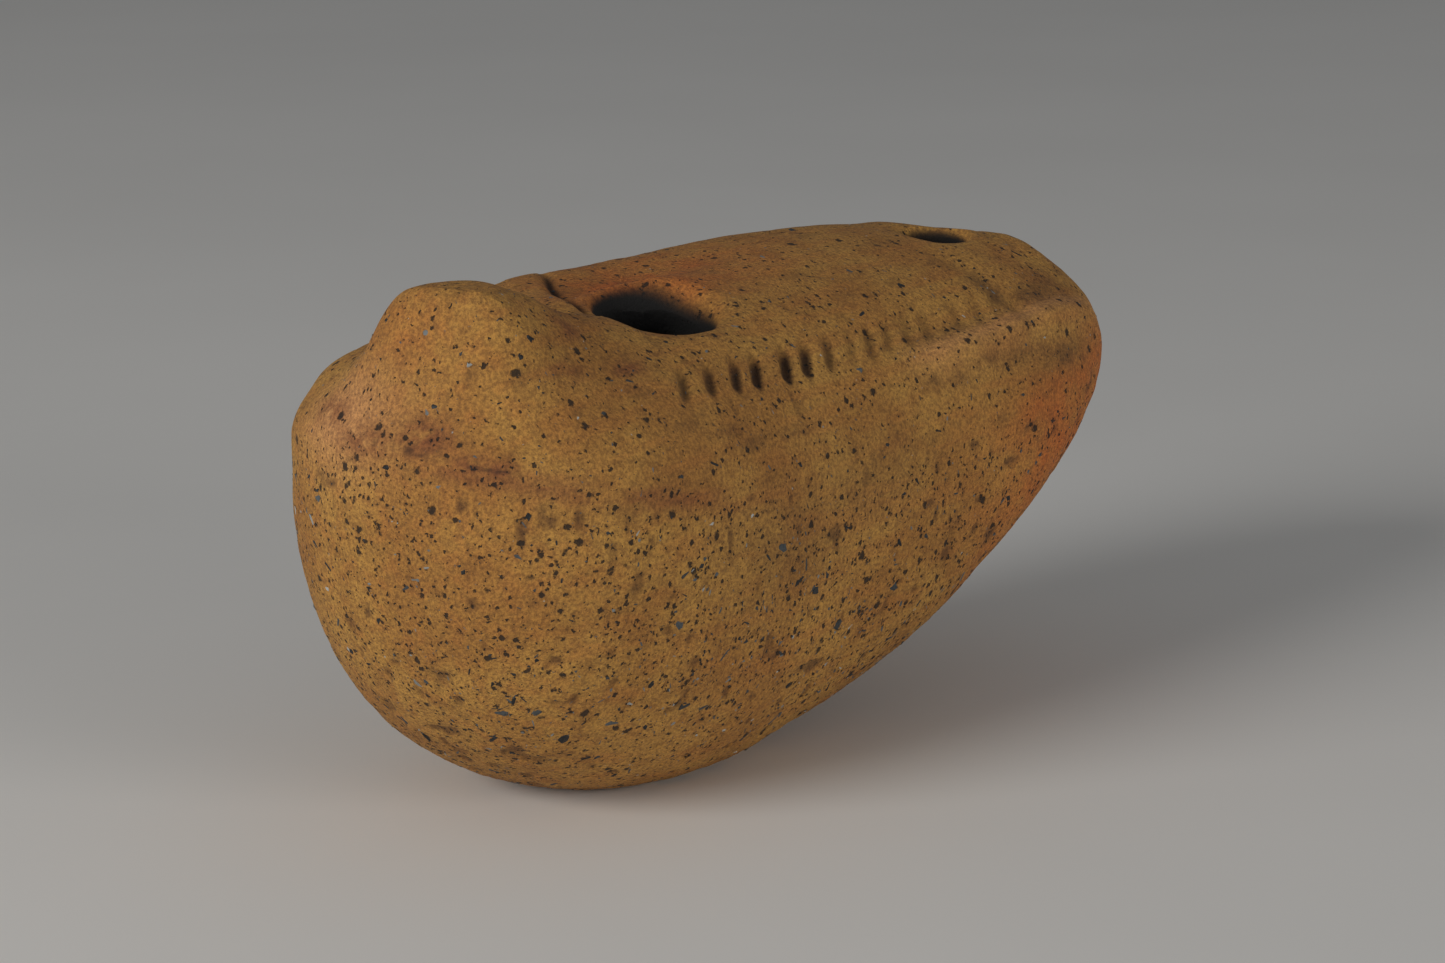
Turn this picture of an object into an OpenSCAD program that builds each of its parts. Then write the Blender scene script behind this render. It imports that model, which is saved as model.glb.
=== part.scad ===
// Shell-shaped clay ocarina: a hollow vessel flute blown across a hole in its upper side.
// +X runs from the broad end to the narrow end, -Y is the side with the row of dashes,
// +Z is up, and the origin is under the middle of the body, on the flat foot.

/* [Body] */
// Length of the hollow body, from the broad end to the narrow end
body_length = 85; // [80:1:90]
// Width of the body at mid length
body_width = 40; // [38:1:42]
// Rise of the upper shell above the joint, at mid length
upper_rise = 15.7; // [15:0.1:16.3]
// Drop of the lower bowl below the joint, at mid length
lower_drop = 24.9; // [24:0.1:25.8]
// Thickness of the fired clay wall
wall = 4; // [3.5:0.1:4.5]
// Depth that the resting foot is pressed flat
foot_flat = 1.1; // [0.9:0.1:1.3]

/* [Blow hole] */
// Diameter of the hole that is blown across
mouth_d = 9.6; // [8.6:0.2:10.6]
// Lean of the blow hole towards the -Y side, in degrees
mouth_lean = 12; // [8:1:15]
// Depth of the hollow on the far side of the blow hole
dish_depth = 1.4; // [0.5:0.1:2]
// Height of the lip between the spire and the hollow
lip_height = 0.9; // [0.6:0.1:1.2]

/* [Finger hole] */
// Diameter of the finger hole near the narrow end
finger_d = 5; // [4:0.2:5.4]
// Lean of the finger hole towards the -Y side, in degrees
finger_lean = 5; // [2:1:8]

/* [Applied clay] */
// Height of the spire's top above the foot
spire_top = 44.1; // [43.5:0.1:45]
// Radius of the spire at half its height
spire_r = 7.1; // [6.5:0.1:7.5]
// Height of the rib along the side
rib_height = 0.9; // [0.6:0.1:1.2]
// Thickness of the clay pad over the narrow end
cap_thickness = 0.8; // [0.6:0.1:1]
// Height of the coil pressed along the inside of the joint
coil_height = 1.4; // [1:0.1:1.8]

/* [Dashes] */
// Number of short grooves in the row beside the blow hole
dash_count = 15; // [10:1:16]
// Distance from one groove to the next
dash_step = 2.9; // [2.6:0.1:3]
// Length of a groove
dash_length = 2.6; // [2:0.1:3]
// Width of the tool that pressed the grooves
dash_w = 1.2; // [1:0.1:1.4]
// Slant of the grooves away from straight across the body, in degrees
dash_slant = 45; // [30:5:55]

/* [Grit] */
// Number of large dark grains
dark_grains = 44; // [30:1:50]
// Number of large pale grains
pale_grains = 18; // [12:1:24]
// Width of the largest grain
grain_size = 1.6; // [1.2:0.1:1.8]

/* [Hidden] */

// The body is a unit hemisphere, above and below, stretched by these rules.
// p runs from -1 at the broad end to 1 at the narrow end, q from -1 to 1 across.
end_flare = 0.41;       // how much wider than mid length the ends are drawn
end_bow = 4.2;          // how far both ends bend towards -Y
joint_rise = 6;         // how far the joint climbs to both ends
joint_tilt = 0.9;       // how much lower the joint lies at the narrow end
upper_lean = 0.08;      // share by which the upper shell grows to the narrow end
belly_shift = 0.32;     // share by which the bowl grows to the broad end
belly_curl = 0.3;       // the same, close to the two ends
bowl_power = 2.4;       // squareness of the bowl's cross-section: 2 is an ellipse

segments = 60;          // points around each ring of a shell
upper_rings = 24;       // rings of the upper shell, close enough to follow the dish
lower_rings = 16;       // rings of the lower bowl
embed = 0.15;           // how far applied clay is pressed into the shell
feather = 0.05;         // thickness of applied clay at its edge
far_out = 100;          // larger than the object

// The clay pad lengthens the narrow end, so the body sits half as far back
function body_x(p, depth) = (body_length / 2 - depth) * p - cap_thickness / 2;
function share_at(x) = (x + cap_thickness / 2) / (body_length / 2);
function half_width(p) = body_width / 2 * (1 + end_flare * p * p);
function mid_y(p) = -end_bow * p * p;
function joint_z(p) = joint_rise * p * p - joint_tilt * p;
function rise(p) = upper_rise * (1 + upper_lean * p);
function drop(p) = lower_drop * (1 - belly_shift * p - belly_curl * p * p * p);
function reach(p) = sqrt(max(0, 1 - p * p));
function across(q, r, power) = r <= 0 ? 0 : pow(max(0, 1 - pow(abs(q) / r, power)), 1 / power) * r;

// Height of the joint above the foot, from the bowl's deepest point
bowl_depth = max([for (p = [-0.6 : 0.01 : 0.2]) drop(p) * reach(p) - joint_z(p)]);
joint_height = bowl_depth - foot_flat;

// Holes: place, radius, lean, and how far the shell sinks there
mouth = [-12.6, -6.6, mouth_d / 2, mouth_lean, 0.8];
finger = [28.2, -5, finger_d / 2, finger_lean, 0.3];
flat_margin = 1.4;      // flat clay around each hole
blend = 2.6;            // width over which that flat runs out
dish = [-8, 1];         // middle of the hollow beside the blow hole
dish_size = [11, 5];    // its half length and half width
far_wall = [-12, 8.5];  // middle of the swelling behind that hollow
far_size = [9, 6];      // its half length and half width
far_height = 1;         // how far it stands up

lip_ends = [[-18.9, -4.6], [-8.4, 8.5]]; // the crease at the foot of the lip
lip_offset = 1.9;       // from that crease to the middle of the lip
lip_bow = 0.6;          // how far the lip bends away at its middle
lip_width = 3.4;
pad_start = 0.77;       // share of the half length at which the end pad stops

dash_start = -18.7;     // place of the first groove
dash_y = -15.5;         // line that the grooves follow

spire = [-36.8, -5.9];  // middle of the spire
spire_power = 5.3;      // steepness of the spire's side
spire_dome = 0.02;      // roundness of the spire's top
spire_foot = 1.9;       // radius of the spire's foot, in half-height radii
spire_stretch = 1.25;   // how much further the spire runs towards the holes
spire_fade = 8;         // steepness of the run-out at the broad end
rim_edge = 0.985;       // how near to the joint the spire's clay reaches

dark_seed = 11;         // where the dark grains fall
pale_seed = 5;          // where the pale grains fall
dark_sides = 5;         // sides of a dark grain
pale_sides = 6;         // sides of a pale grain

function smooth(t) = let (c = min(1, max(0, t))) c * c * (3 - 2 * c);
function mix(a, b, t) = a + (b - a) * t;

// Height of the upper shell's plain outer face over a point in plan
function plain_top(x, y) =
    let (p = share_at(x), q = (y - mid_y(p)) / half_width(p))
    joint_height + joint_z(p) + rise(p) * across(q, reach(p), 2);

// The flat face that a hole is cut through, leaning with the hole
function hole_level(hole) = plain_top(hole[0], hole[1]) - hole[4];
function hole_plane(hole, y) = hole_level(hole) + tan(hole[3]) * (y - hole[1]);
function hole_weight(hole, x, y) =
    1 - smooth((norm([x - hole[0], y - hole[1]]) - hole[2] - flat_margin) / blend);
function bell(x, y, middle, size) =
    exp(-pow((x - middle[0]) / size[0], 2) - pow((y - middle[1]) / size[1], 2));

// Height of an upper face that lies depth below the outer one
function shaped_top(x, y, z, depth) =
    let (
        dished = z - dish_depth * bell(x, y, dish, dish_size) + far_height * bell(x, y, far_wall, far_size),
        at_mouth = hole_plane(mouth, y) - depth / cos(mouth[3]),
        at_finger = hole_plane(finger, y) - depth / cos(finger[3]),
        first = mix(dished, at_mouth, hole_weight(mouth, x, y))
    )
    mix(first, at_finger, hole_weight(finger, x, y));

function upper_point(s, a, depth) =
    let (
        p = s * cos(a),
        q = s * sin(a),
        x = body_x(p, depth),
        y = mid_y(p) + (half_width(p) - depth) * q,
        z = joint_height + joint_z(p) + (rise(p) - depth) * across(q, reach(p), 2)
    )
    [x, y, shaped_top(x, y, z, depth)];

function lower_point(s, a, depth) =
    let (p = s * cos(a), q = s * sin(a))
    [
        body_x(p, depth),
        mid_y(p) + (half_width(p) - depth) * q,
        joint_height + joint_z(p) - (drop(p) - depth) * across(q, reach(p), bowl_power)
    ];

function around(n) = [for (i = [0 : n - 1]) 360 * i / n];
function upper_ring(s, depth) = [for (a = around(segments)) upper_point(s, a, depth)];
function lower_ring(s, depth) = [for (a = around(segments)) lower_point(s, a, depth)];

// A closed solid from a point, through rings of equal length, to another point
module closed_skin(first, rings, last, flip = false) {
    n = len(rings[0]);
    m = len(rings);
    points = concat([first], [for (ring = rings, v = ring) v], [last]);
    end = len(points) - 1;
    start_fan = [for (i = [0 : n - 1]) [0, 1 + (i + 1) % n, 1 + i]];
    bands = [
        for (j = [0 : m - 2], i = [0 : n - 1])
            let (a = 1 + j * n + i, b = 1 + j * n + (i + 1) % n)
            each [[a, b, a + n], [b, b + n, a + n]]
    ];
    end_fan = [for (i = [0 : n - 1]) [end, end - n + i, end - n + (i + 1) % n]];
    faces = concat(start_fan, bands, end_fan);
    polyhedron(points, flip ? [for (f = faces) [f[0], f[2], f[1]]] : faces);
}

// A closed ring-shaped solid from sections of equal length
module loop_skin(sections) {
    n = len(sections[0]);
    m = len(sections);
    points = [for (section = sections, v = section) v];
    faces = [
        for (j = [0 : m - 1], i = [0 : n - 1])
            let (
                a = j * n + i,
                b = j * n + (i + 1) % n,
                c = (j + 1) % m * n + i,
                d = (j + 1) % m * n + (i + 1) % n
            )
            each [[a, b, c], [b, d, c]]
    ];
    polyhedron(points, faces);
}

// One short groove pressed down the slope of the upper shell
module dash_cut(x) {
    here = top_point(x, dash_y);
    slope = unit(top_point(x - sin(dash_slant), dash_y - cos(dash_slant)) - here);
    translate(here + 0.2 * top_normal(x, dash_y))
        rotate([0, acos(slope[2]), atan2(slope[1], slope[0])])
            cylinder(r = dash_w / 2, h = dash_length, center = true, $fn = 16);
}

module hole_cut(hole) {
    translate([hole[0], hole[1], hole_level(hole)])
        rotate([hole[3], 0, 0])
            cylinder(r = hole[2], h = 4 * wall, center = true, $fn = 48);
}

module lower_bowl() {
    steps = [for (i = [1 : lower_rings]) sin(90 * i / lower_rings)];
    back = [for (i = [lower_rings : -1 : 1]) sin(90 * i / lower_rings)];
    outer = [for (s = steps) lower_ring(s, 0)];
    inner = [for (s = back) lower_ring(s, wall)];
    color("#9a7340")
        difference() {
            closed_skin(lower_point(0, 0, 0), concat(outer, inner), lower_point(0, 0, wall), true);
            translate([-far_out / 2, -far_out / 2, -far_out])
                cube(far_out);
            grains(dark_grains, dark_seed, dark_sides);
            grains(pale_grains, pale_seed, pale_sides);
        }
}

module upper_shell() {
    steps = [for (i = [1 : upper_rings]) sin(90 * i / upper_rings)];
    back = [for (i = [upper_rings : -1 : 1]) sin(90 * i / upper_rings)];
    outer = [for (s = steps) upper_ring(s, 0)];
    inner = [for (s = back) upper_ring(s, wall)];
    color("#a07a45")
        difference() {
            closed_skin(upper_point(0, 0, 0), concat(outer, inner), upper_point(0, 0, wall));
            hole_cut(mouth);
            hole_cut(finger);
            for (i = [0 : dash_count - 1])
                dash_cut(dash_start + i * dash_step);
        }
}

// Clay pressed along the inside of the joint, thickest at the joint itself
module seam_coil() {
    lift = [-16, -10, 0, 10, 16];
    swell = [feather, 0.75 * coil_height, coil_height, 0.75 * coil_height, feather];
    color("#8a6a3e")
        loop_skin([
            for (a = around(segments))
                concat(
                    [for (i = [0 : 4]) joint_point(lift[i], a, wall)],
                    [for (i = [4 : -1 : 0]) joint_point(lift[i], a, wall + swell[i])]
                )
        ]);
}

// A point near the joint, lift degrees above it, or below it where lift is negative
function joint_point(lift, a, depth) =
    lift > 0 ? upper_point(cos(lift), a, depth) : lower_point(cos(lift), a, depth);

// The spire is pulled up from the shell towards a rounded top
function spire_share(r) =
    let (
        here = 1 / (1 + pow(r / spire_r, spire_power)),
        edge = 1 / (1 + pow(spire_foot, spire_power))
    )
    max(0, (here - edge) / (1 - edge));
function spire_distance(x, y) =
    let (dx = x - spire[0])
    norm([dx / (dx > 0 ? spire_stretch : 1), y - spire[1]]);
function spire_swell(x, y, z, s) =
    let (
        r = spire_distance(x, y),
        fade = smooth((rim_edge - s) * spire_fade)
    )
    spire_share(r) * fade * max(0, spire_top - spire_dome * r * r - z);

// How far the spire's clay reaches from its middle, in unit-disk terms, before the joint
function edge_run(p, q, a) =
    let (along = p * cos(a) + q * sin(a))
    sqrt(along * along + rim_edge * rim_edge - p * p - q * q) - along;
function spire_point(share, a, swell) =
    let (
        p0 = share_at(spire[0]),
        q0 = (spire[1] - mid_y(p0)) / half_width(p0),
        along = body_length / 2 * cos(a) / (cos(a) > 0 ? spire_stretch : 1),
        foot_run = spire_foot * spire_r / norm([along, half_width(p0) * sin(a)]),
        run = share * min(edge_run(p0, q0, a), foot_run),
        p = p0 + run * cos(a),
        q = q0 + run * sin(a),
        x = body_x(p, 0),
        y = mid_y(p) + half_width(p) * q,
        z = shaped_top(x, y, plain_top(x, y), 0)
    )
    [x, y, z + (swell ? feather + spire_swell(x, y, z, norm([p, q])) : -embed)];

module spire_knob() {
    shares = [for (i = [1 : 10]) i / 10];
    sides = around(40);
    top = [for (k = shares) [for (a = sides) spire_point(k, a, true)]];
    under = [for (i = [9 : -1 : 0]) [for (a = sides) spire_point(shares[i], a, false)]];
    color("#9c7742")
        closed_skin(spire_point(0, 0, true), concat(top, under), spire_point(0, 0, false));
}

// Unit normal of the upper shell's outer face over a point in plan
function top_at(x, y) = shaped_top(x, y, plain_top(x, y), 0);
function top_normal(x, y) =
    let (
        e = 0.2,
        n = [
            (top_at(x - e, y) - top_at(x + e, y)) / (2 * e),
            (top_at(x, y - e) - top_at(x, y + e)) / (2 * e),
            1
        ]
    )
    n / norm(n);
function top_point(x, y) = [x, y, top_at(x, y)];
function unit(v) = v / norm(v);

// A low rounded rib laid along a route over the upper shell, thin at both ends
module rib(route, width, height) {
    n = len(route);
    rings = [
        for (i = [0 : n - 1])
            let (
                here = route[i],
                next = route[min(n - 1, i + 1)],
                last = route[max(0, i - 1)],
                up = top_normal(here[0], here[1]),
                side = unit(cross(up, top_point(next[0], next[1]) - top_point(last[0], last[1]))),
                size = 0.25 + 0.75 * sqrt(sin(180 * (i + 0.5) / n)),
                base = top_point(here[0], here[1])
            )
            concat(
                [for (t = [0 : 30 : 180])
                    base + side * cos(t) * size * width / 2 + up * (sin(t) * size * height + feather)],
                [base - side * size * width / 2 - up * embed, base + side * size * width / 2 - up * embed]
            )
    ];
    closed_skin(mid_of(rings[0]), rings, mid_of(rings[n - 1]), true);
}
function mid_of(ring) = (ring[0] + ring[6]) / 2;

// The lip stands on the spire's side of the blow hole, behind the crease at its foot
module aperture_lip() {
    way = lip_ends[1] - lip_ends[0];
    side = unit([-way[1], way[0]]);
    color("#a4703d")
        rib([
            for (k = [-0.1 : 0.04 : 1.14])
                lip_ends[0] + way * k + side * (lip_offset + lip_bow * sin(180 * k))
        ], lip_width, lip_height);
}

module side_rib() {
    color("#a8703a")
        rib([for (x = [7 : 1.2 : 36]) [x, -17.6 + 0.004 * pow(x - 16, 2)]], 3, rib_height);
}

// The pad over the narrow end, as thick as cap_thickness at the end itself
module tip_cap() {
    steps = [for (i = [1 : 8]) i / 8];
    back = [for (i = [7 : -1 : 0]) steps[i]];
    sides = around(32);
    color("#a87c46")
        closed_skin(
            end_point(0, 0, cap_thickness),
            concat(
                [for (k = steps) [for (t = sides) end_point(k, t, pad_swell(k))]],
                [for (k = back) [for (t = sides) end_point(k, t, -embed)]]
            ),
            end_point(0, 0, -embed)
        );
}

function pad_swell(share) = mix(feather, cap_thickness, smooth(2 * (1 - share)));

// A point of the narrow end: share 0 at the very end and 1 where the pad stops, t degrees around
function end_point(share, t, swell) =
    let (
        lean = acos(pad_start) * share,
        p = cos(lean),
        r = sin(lean),
        power = sin(t) >= 0 ? 2 : bowl_power,
        c = sign(cos(t)) * pow(abs(cos(t)), 2 / power),
        s = sign(sin(t)) * pow(abs(sin(t)), 2 / power),
        height = (sin(t) >= 0 ? rise(p) : drop(p)) + swell
    )
    [
        body_x(p, -swell),
        mid_y(p) + (half_width(p) + swell) * r * c,
        joint_height + joint_z(p) + height * r * s
    ];

// Grains are short five- or six-sided prisms set into the bowl, flush but for a hair
function grain_places(count, seed) =
    let (
        turn = rands(188, 352, count, seed),
        depth = rands(0.66, 0.985, count, seed + 1),
        size = rands(0.55, 1, count, seed + 2)
    )
    [for (i = [0 : count - 1]) [depth[i], turn[i], size[i] * grain_size]];

module grain(place, sides) {
    here = lower_point(place[0], place[1], 0);
    next = lower_point(place[0], place[1] + 1, 0);
    lower = lower_point(place[0] - 0.01, place[1], 0);
    out = unit(cross(lower - here, next - here));
    yaw = atan2(out[1], out[0]);
    pitch = acos(out[2]);
    translate(here)
        rotate([0, pitch, yaw])
            rotate([0, 0, 37 * place[1]])
                translate([0, 0, -0.8 * place[2]])
                    cylinder(r = place[2] / 2, h = 0.8 * place[2] + embed, $fn = sides);
}

module grains(count, seed, sides) {
    for (place = grain_places(count, seed))
        grain(place, sides);
}

module dark_grit() {
    color("#35322f")
        grains(dark_grains, dark_seed, dark_sides);
}

module pale_grit() {
    color("#b9b2a6")
        grains(pale_grains, pale_seed, pale_sides);
}

lower_bowl();
upper_shell();
seam_coil();
spire_knob();
aperture_lip();
side_rib();
tip_cap();
dark_grit();
pale_grit();
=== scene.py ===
"""A shell-shaped clay ocarina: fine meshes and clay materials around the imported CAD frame."""

import math

import bpy
import numpy as np
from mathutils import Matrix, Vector


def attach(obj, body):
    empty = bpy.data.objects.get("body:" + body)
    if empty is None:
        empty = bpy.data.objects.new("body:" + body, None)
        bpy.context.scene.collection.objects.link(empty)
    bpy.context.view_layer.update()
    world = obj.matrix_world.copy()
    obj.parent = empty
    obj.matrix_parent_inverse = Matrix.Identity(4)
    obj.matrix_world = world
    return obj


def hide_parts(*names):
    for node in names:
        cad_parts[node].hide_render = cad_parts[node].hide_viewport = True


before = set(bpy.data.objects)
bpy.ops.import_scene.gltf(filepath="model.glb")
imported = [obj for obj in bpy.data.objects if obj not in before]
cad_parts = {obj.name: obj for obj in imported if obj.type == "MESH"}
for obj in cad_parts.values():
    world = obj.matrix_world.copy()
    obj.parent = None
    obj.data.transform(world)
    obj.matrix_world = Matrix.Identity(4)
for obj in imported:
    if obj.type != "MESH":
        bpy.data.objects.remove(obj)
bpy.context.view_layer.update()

MM = 0.001

# ---- The form, in millimetres, by the same rules as the CAD source ----
# p runs from -1 at the broad end to 1 at the narrow end, q from -1 to 1 across.
BODY_LENGTH = 85.0
BODY_WIDTH = 40.0
UPPER_RISE = 15.7
LOWER_DROP = 24.9
WALL = 4.0
FOOT_FLAT = 1.1
CAP_THICKNESS = 0.8
END_FLARE = 0.41
END_BOW = 4.2
JOINT_RISE = 6.0
JOINT_TILT = 0.9
UPPER_LEAN = 0.08
BELLY_SHIFT = 0.32
BELLY_CURL = 0.30
BOWL_POWER = 2.4

# Blow hole and finger hole: centre, radius, lean from upright, and how far the shell sinks there
MOUTH = dict(x=-12.6, y=-6.6, r=4.8, lean=math.radians(12), sink=0.8)
FINGER = dict(x=28.2, y=-5.0, r=2.5, lean=math.radians(5), sink=0.3)
FLAT_MARGIN = 0.1
FLAT_BLEND = 2.4
DISH_CENTRE = (-8.0, 1.0)
DISH_SIZE = (11.0, 5.0)
DISH_DEPTH = 1.4
FAR_CENTRE = (-12.0, 8.5)
FAR_SIZE = (9.0, 6.0)
FAR_HEIGHT = 1.0

SPIRE_CENTRE = (-36.8, -5.9)
SPIRE_TOP = 44.1
SPIRE_R = 7.1
SPIRE_POWER = 5.3
SPIRE_DOME = 0.02
SPIRE_FOOT = 1.9
SPIRE_STRETCH = 1.25
SPIRE_FADE = 8.0
RIM_EDGE = 0.985

CREASE_START = (-8.4, 8.5)
CREASE_END = (-18.9, -4.6)
CREASE_BOW = 0.6
CREASE_DEPTH = 0.32
LIP_HEIGHT = 0.55
LIP_OFFSET = 1.9
RIDGE_START = (-31.0, -6.5)
RIDGE_END = (-16.5, -8.8)
RIDGE_HEIGHT = 1.2
RIB_SPAN = (7.0, 36.0)
RIB_HEIGHT = 0.9
CAP_START = 0.77
GROOVE_DEPTH = 0.3

# Low swellings behind both holes, at the far shoulder and at the top of the narrow end:
# height, middle and half sizes
SWELLINGS = [(0.9, (-8.0, -2.2), (5.5, 2.6)), (0.4, (28.5, 0.2), (4.0, 2.2)),
             (0.45, (-34.0, 10.0), (4.0, 4.0)), (0.75, (34.2, -8.0), (3.4, 3.6))]

# The short grooves. Their shifts along the row bring most of them to places that a separate
# projection script worked out, as for the spots below. Their strengths were set one by one.
DASH_START = -18.7
DASH_STEP = 2.9
DASH_LINE = -15.5
DASH_SLANT = math.radians(45)
DASH_HALF_WIDTH = 0.47
DASH_HALF_LENGTH = 1.45
DASH_DEPTH = 0.55
DASH_SHIFTS = (-1.4, -1.0, -0.6, -0.9, 0.1, -0.2, -0.1, 0.0, -0.4, -0.8, -0.9, -1.2, 0.3, 0.3, 0.0)
DASH_PRESSES = (0.75, 0.85, 1.0, 1.2, 1.3, 1.1, 0.7, 0.35, 0.55, 0.4, 0.35, 0.35, 0.3, 0.3, 0.25)

# ---- Fineness of the meshes ----
SEGMENTS = 620
SHELL_RINGS = 150
BOWL_RINGS = 150
INNER_RINGS = 16
TUBE_RINGS = 8
SEAT = 0.03   # how far an applied piece stands above the shell that it is luted to
SUNK = -0.12  # how far its edge dips below that shell
APPLIED_DEPTH = 0.5  # how far its hidden underside lies inside that shell

HASH_MASK = 0xFFFFFFFF
SHARP_ANGLE = math.radians(55)


def smooth(t):
    t = np.clip(t, 0.0, 1.0)
    return t * t * (3 - 2 * t)


def mix(a, b, t):
    return a + (b - a) * t


def bump(distance, width):
    """A soft bell, 1 at distance 0."""
    return np.exp(-((distance / width) ** 2))


def bell(x, y, middle, size):
    return bump((x - middle[0]) / size[0], 1) * bump((y - middle[1]) / size[1], 1)


def body_x(p, depth=0.0):
    return (BODY_LENGTH / 2 - depth) * p - CAP_THICKNESS / 2


def share_at(x):
    return (x + CAP_THICKNESS / 2) / (BODY_LENGTH / 2)


def half_width(p):
    return BODY_WIDTH / 2 * (1 + END_FLARE * p * p)


def mid_y(p):
    return -END_BOW * p * p


def joint_z(p):
    return JOINT_RISE * p * p - JOINT_TILT * p


def rise(p):
    return UPPER_RISE * (1 + UPPER_LEAN * p)


def drop(p):
    return LOWER_DROP * (1 - BELLY_SHIFT * p - BELLY_CURL * p**3)


def reach(p):
    return np.sqrt(np.maximum(0.0, 1 - p * p))


def across(q, r, power):
    share = np.abs(q) / np.maximum(r, 1e-9)
    return np.maximum(0.0, 1 - np.minimum(share, 1.0) ** power) ** (1 / power) * r


_profile = np.arange(-0.6, 0.2001, 0.01)
JOINT_HEIGHT = float(np.max(drop(_profile) * reach(_profile) - joint_z(_profile))) - FOOT_FLAT


def plain_top(x, y):
    p = share_at(x)
    q = (y - mid_y(p)) / half_width(p)
    return JOINT_HEIGHT + joint_z(p) + rise(p) * across(q, reach(p), 2.0)


def hole_level(hole):
    return float(plain_top(np.float64(hole["x"]), np.float64(hole["y"]))) - hole["sink"]


def hole_plane(hole, y):
    return hole_level(hole) + math.tan(hole["lean"]) * (y - hole["y"])


def hole_weight(hole, x, y):
    away = np.hypot(x - hole["x"], y - hole["y"]) - hole["r"] - FLAT_MARGIN
    return 1 - smooth(away / FLAT_BLEND)


def shaped_top(x, y, z, depth):
    """The upper face that lies depth below the outer one, with its dish and the flats of its holes."""
    hollowed = z - DISH_DEPTH * bell(x, y, DISH_CENTRE, DISH_SIZE)
    hollowed = hollowed + FAR_HEIGHT * bell(x, y, FAR_CENTRE, FAR_SIZE)
    at_mouth = hole_plane(MOUTH, y) - depth / math.cos(MOUTH["lean"])
    at_finger = hole_plane(FINGER, y) - depth / math.cos(FINGER["lean"])
    first = mix(hollowed, at_mouth, hole_weight(MOUTH, x, y))
    return mix(first, at_finger, hole_weight(FINGER, x, y))


def spire_swell(x, y, z, s):
    """How far the spire stands above the plain shell. It fades out at the rim, where s nears 1."""
    dx = x - SPIRE_CENTRE[0]
    r = np.hypot(np.where(dx > 0, dx / SPIRE_STRETCH, dx), y - SPIRE_CENTRE[1])
    edge = 1 / (1 + SPIRE_FOOT**SPIRE_POWER)
    share = np.maximum(0.0, (1 / (1 + (r / SPIRE_R) ** SPIRE_POWER) - edge) / (1 - edge))
    fade = smooth((RIM_EDGE - s) * SPIRE_FADE)
    return share * fade * np.maximum(0.0, SPIRE_TOP - SPIRE_DOME * r * r - z)


def upper_points(p, q, depth=0.0):
    """The upper half's face at depth below the outer one. Only the outer face carries the spire."""
    x = body_x(p, depth)
    y = mid_y(p) + (half_width(p) - depth) * q
    z = JOINT_HEIGHT + joint_z(p) + (rise(p) - depth) * across(q, reach(p), 2.0)
    z = shaped_top(x, y, z, depth)
    if depth == 0:
        z = z + spire_swell(x, y, z, np.hypot(p, q))
    return np.stack([x, y, z], -1)


def lower_points(p, q, depth=0.0):
    x = body_x(p, depth)
    y = mid_y(p) + (half_width(p) - depth) * q
    z = JOINT_HEIGHT + joint_z(p) - (drop(p) - depth) * across(q, reach(p), BOWL_POWER)
    return np.stack([x, y, z], -1)


def plan_to_share(x, y):
    p = share_at(x)
    return p, (y - mid_y(p)) / half_width(p)


# ---- Surface noise: values hashed at the corners of a lattice, the same on every run ----
def lattice(i, j, k, seed):
    h = ((i * 73856093) ^ (j * 19349663) ^ (k * 83492791) ^ (seed * 2654435761)) & HASH_MASK
    h = ((h ^ (h >> 15)) * 2246822519) & HASH_MASK
    h = ((h ^ (h >> 13)) * 3266489917) & HASH_MASK
    return (h ^ (h >> 16)) / HASH_MASK * 2.0 - 1.0


def noise(points, cell, seed):
    """Smooth noise from -1 to 1, with features of about the cell's size, which may differ by axis."""
    scaled = points / np.asarray(cell, float)
    whole = np.floor(scaled).astype(np.int64)
    part = scaled - whole
    part = part * part * (3 - 2 * part)
    total = np.zeros(points.shape[:-1])
    for corner in range(8):
        step = [corner & 1, corner >> 1 & 1, corner >> 2 & 1]
        weight = np.ones(points.shape[:-1])
        for axis in range(3):
            weight = weight * (part[..., axis] if step[axis] else 1 - part[..., axis])
        i, j, k = (whole[..., axis] + step[axis] for axis in range(3))
        total += weight * lattice(i, j, k, seed)
    return total


def pitting(points):
    """1 in small scattered pits, where grains have dropped out of the clay."""
    return smooth((noise(points, 1.25, 41) - 0.5) / 0.22)


def clay_relief(points, gritty):
    """How far hand-worked clay stands out or in, in millimetres."""
    soft = 0.24 * noise(points, 14, 1) + 0.13 * noise(points, 6.5, 2)
    strokes = 0.05 * noise(points, (7, 1.6, 1.6), 3) * (1 - gritty)
    fine = (0.03 + 0.03 * gritty) * noise(points, 2.1, 4) + (0.02 + 0.03 * gritty) * noise(points, 0.8, 5)
    return soft + strokes + fine - (0.04 + 0.08 * gritty) * pitting(points)


# ---- Features of the upper face, as heights along its normal ----
def beside(x, y, start, end, bow=0.0):
    """Share of the way along a line from start to end, and the distance to its left, with the line bowed."""
    way = np.subtract(end, start)
    length = math.hypot(*way)
    dx, dy = x - start[0], y - start[1]
    along = (dx * way[0] + dy * way[1]) / length**2
    left = (dy * way[0] - dx * way[1]) / length
    return along, left - bow * np.sin(np.pi * np.clip(along, 0, 1))


def lip_relief(x, y):
    """The lip stands over the hollow, with a crease at its foot and a long slope behind."""
    along, behind = beside(x, y, CREASE_END, CREASE_START, CREASE_BOW)
    ends = smooth((along + 0.2) / 0.3) * smooth((1.1 - along) / 0.6)
    body = np.where(behind > 1.3, bump(behind - 1.3, 3.0), smooth((behind + 0.2) / 1.5))
    crease = smooth((along + 0.2) / 0.3) * smooth((1.1 - along) / 0.25) * bump(behind + 0.1, 0.4)
    return ends * LIP_HEIGHT * body - CREASE_DEPTH * crease


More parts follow.
